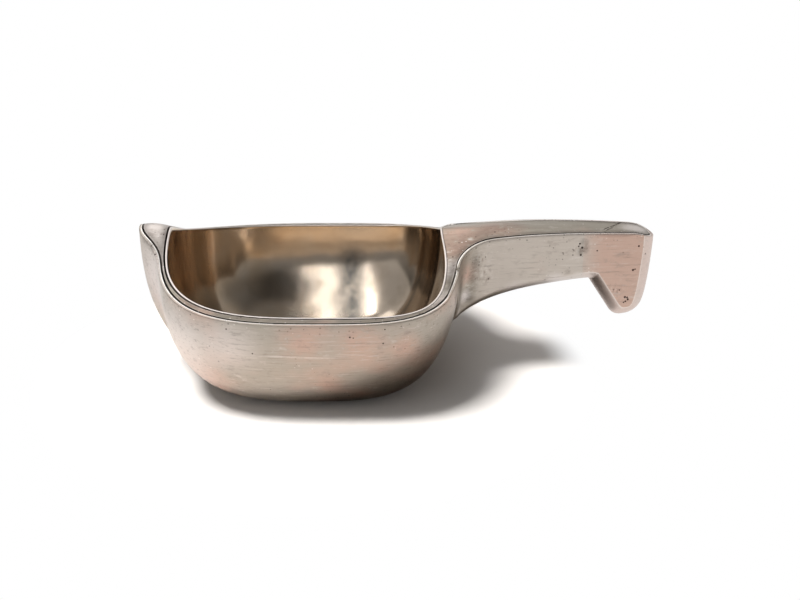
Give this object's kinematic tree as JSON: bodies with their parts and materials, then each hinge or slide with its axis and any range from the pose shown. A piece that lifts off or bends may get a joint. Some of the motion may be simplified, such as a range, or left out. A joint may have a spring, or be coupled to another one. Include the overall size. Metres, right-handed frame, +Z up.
{
  "type": "drinking ladle",
  "caption": "Double-walled silver drinking ladle with a pointed prow, a gilt hammered inside and a hollow hooked handle.",
  "frame": {"origin": "centre of the flat bottom", "axes": "+Z up; +X along the handle, away from the bowl, with the prow at -X; the -Y side faces the viewer of the picture"},
  "size_m": [0.2005, 0.115, 0.0619],
  "materials": {
    "silver": "worn satin silver, warm and faintly pink",
    "rim_silver": "worn satin silver, tarnished beside its seams",
    "gilt_inside": "hammered and polished, worn brown gilding"
  },
  "bodies": {
    "root": {"bowl_liner": "gilt_inside", "bowl_shell": "silver", "rim_cover": "rim_silver", "handle_trough": "silver", "hook_end": "silver", "hook_cover": "rim_silver"}
  },
  "joints": []
}
